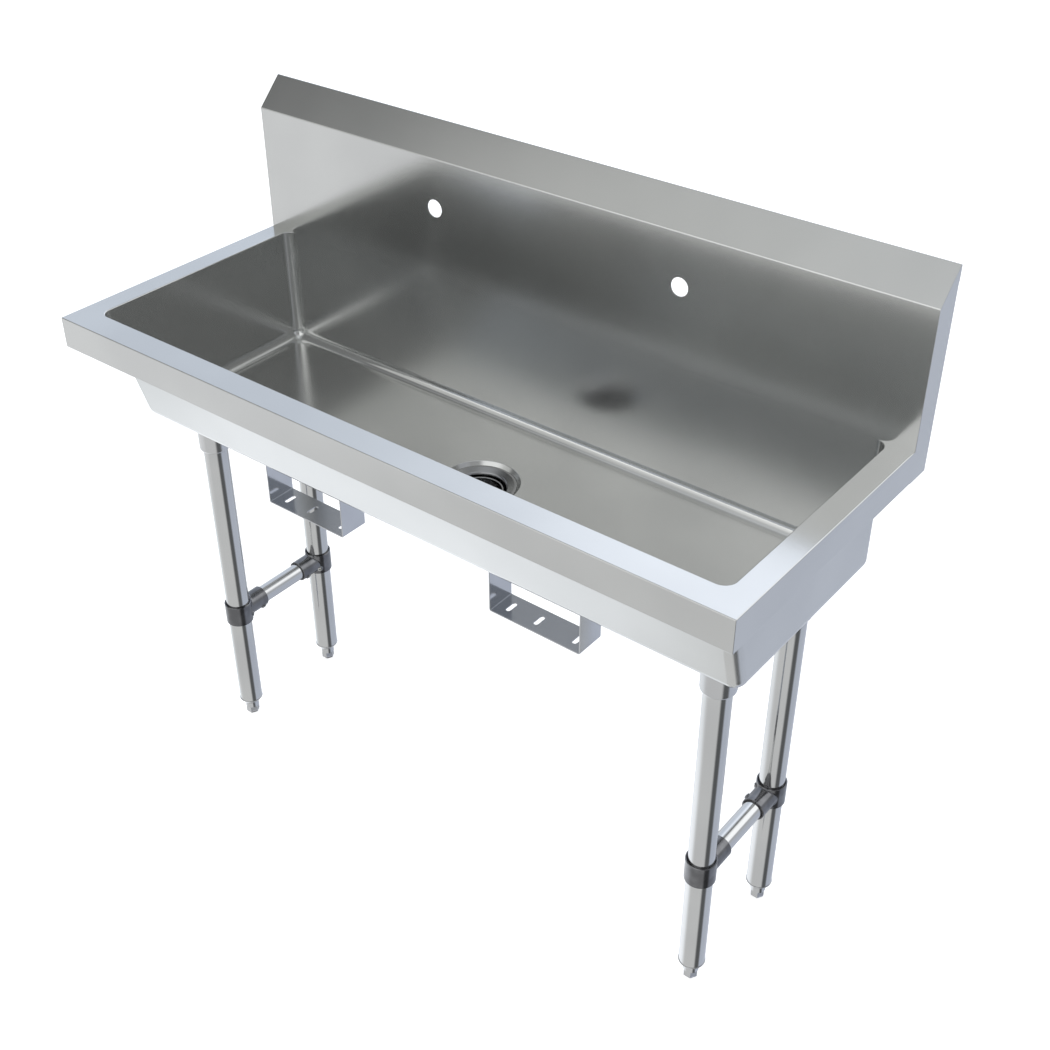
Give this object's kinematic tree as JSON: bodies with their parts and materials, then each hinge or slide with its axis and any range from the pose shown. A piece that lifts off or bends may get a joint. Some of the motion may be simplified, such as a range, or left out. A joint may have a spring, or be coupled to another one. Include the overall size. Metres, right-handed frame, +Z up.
{
  "type": "trough sink",
  "caption": "Free-standing stainless trough sink: coved bowl, splash with faucet holes, valve brackets, basket drain, tube legs with side rails and adjustable feet.",
  "frame": {"origin": "on the floor, under the middle of the outer box", "axes": "+X along the sink to the user's right, +Y to the back, +Z up"},
  "size_m": [1.219, 0.4996, 1.132],
  "materials": {
    "sheet": "fine satin, nearly mirror-like at a low angle",
    "tube": "satin tube",
    "strip": "bright mill finish",
    "socket": "polished",
    "foot": "turned and polished",
    "casting": "tumbled casting, dark",
    "screw": "bright plated",
    "strainer": "polished",
    "nut": "die cast",
    "rubber": "matt",
    "fibre": "pressed fibre"
  },
  "bodies": {
    "stand": {"rim": "sheet", "bowl": "sheet", "splash": "sheet", "end_panel_left": "sheet", "end_panel_right": "sheet", "leg_socket_front_left": "socket", "leg_socket_front_right": "socket", "leg_socket_back_left": "socket", "leg_socket_back_right": "socket", "socket_screws": "screw", "leg_front_left": "tube", "leg_front_right": "tube", "leg_back_left": "tube", "leg_back_right": "tube", "foot_insert_front_left": "foot", "foot_insert_front_right": "foot", "foot_insert_back_left": "foot", "foot_insert_back_right": "foot", "clamp_front_left": "casting", "clamp_front_right": "casting", "clamp_back_left": "casting", "clamp_back_right": "casting", "clamp_screws": "screw", "rail_left": "tube", "rail_right": "tube", "bracket_left": "strip", "bracket_right": "strip", "strainer_body": "strainer", "drain_gasket": "rubber", "friction_ring": "fibre", "drain_locknut": "nut"},
    "foot_front_left": {"foot_front_left": "foot"},
    "foot_front_right": {"foot_front_right": "foot"},
    "foot_back_left": {"foot_back_left": "foot"},
    "foot_back_right": {"foot_back_right": "foot"},
    "lift_out_basket": {"basket": "strainer", "basket_pull": "strainer", "basket_stopper": "rubber"}
  },
  "joints": [
    {"name": "foot_front_left_thread", "type": "slide", "parent": "stand", "child": "foot_front_left", "axis": [0, 0, 1], "range_m": [-0.025, 0.012]},
    {"name": "foot_front_right_thread", "type": "slide", "parent": "stand", "child": "foot_front_right", "axis": [0, 0, 1], "range_m": [-0.025, 0.012]},
    {"name": "foot_back_left_thread", "type": "slide", "parent": "stand", "child": "foot_back_left", "axis": [0, 0, 1], "range_m": [-0.025, 0.012]},
    {"name": "foot_back_right_thread", "type": "slide", "parent": "stand", "child": "foot_back_right", "axis": [0, 0, 1], "range_m": [-0.025, 0.012]},
    {"name": "basket_lift", "type": "slide", "parent": "stand", "child": "lift_out_basket", "axis": [0, 0, 1], "range_m": [0, 0.3]}
  ]
}
